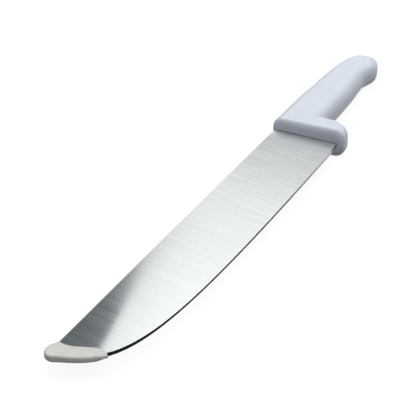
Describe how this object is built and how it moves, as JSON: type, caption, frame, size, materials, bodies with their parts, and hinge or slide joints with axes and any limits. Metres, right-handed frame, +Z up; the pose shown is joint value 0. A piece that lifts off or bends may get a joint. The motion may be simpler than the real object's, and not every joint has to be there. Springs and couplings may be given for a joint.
{
  "type": "butcher knife",
  "caption": "Butcher knife with a long ground steel blade that curves up to a blunt nose, a moulded plastic handle with finger guard and hooked pommel, and a pull-off tip guard.",
  "frame": {"origin": "middle of the knife's box, at the height of the handle's lower side", "axes": "+X from the handle to the point, +Y from the spine to the cutting edge, +Z up through the side of the blade as the knife lies flat"},
  "size_m": [0.391, 0.0508, 0.0196],
  "materials": {
    "blade": "satin, ground across the blade",
    "handle": "satin moulded",
    "tip_guard": "satin, soft"
  },
  "bodies": {
    "knife": {"blade": "blade", "handle": "handle"},
    "tip_guard": {"tip_guard": "tip_guard"}
  },
  "joints": [
    {"name": "tip_guard_pull", "type": "slide", "parent": "knife", "child": "tip_guard", "axis": [1, 0, 0], "range_m": [0, 0.025]}
  ]
}
